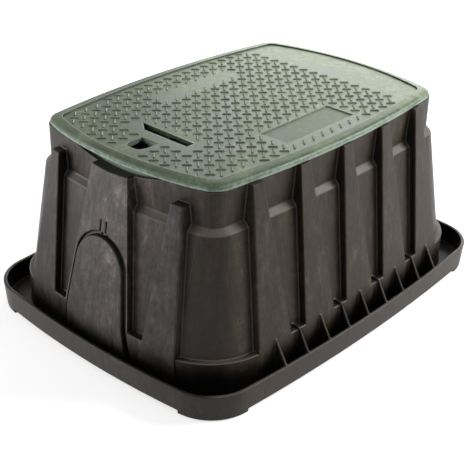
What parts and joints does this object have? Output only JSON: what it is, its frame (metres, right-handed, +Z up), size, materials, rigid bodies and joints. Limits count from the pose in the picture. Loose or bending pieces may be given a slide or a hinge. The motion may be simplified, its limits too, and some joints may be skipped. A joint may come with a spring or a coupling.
{
  "type": "irrigation valve box",
  "caption": "Rectangular in-ground valve box with a ribbed, tapered wall on a wide flanged foot and a drop-in treaded lid with a pick hole and a lift slot.",
  "frame": {"origin": "bottom centre of the box, on the plane its corner feet stand on", "axes": "+X along the long side, away from the lid's pick hole; +Y across the box; +Z up"},
  "size_m": [0.5588, 0.423, 0.254],
  "materials": {
    "box_plastic": "moulded recycled polyethylene, semi-matt with flow marks",
    "lid_plastic": "moulded green polyethylene, semi-matt"
  },
  "bodies": {
    "box": {"box_body": "box_plastic"},
    "lid": {"lid": "lid_plastic"}
  },
  "joints": [
    {"name": "lid_lift", "type": "slide", "parent": "box", "child": "lid", "axis": [0, 0, 1], "range_m": [0, 0.08]}
  ]
}
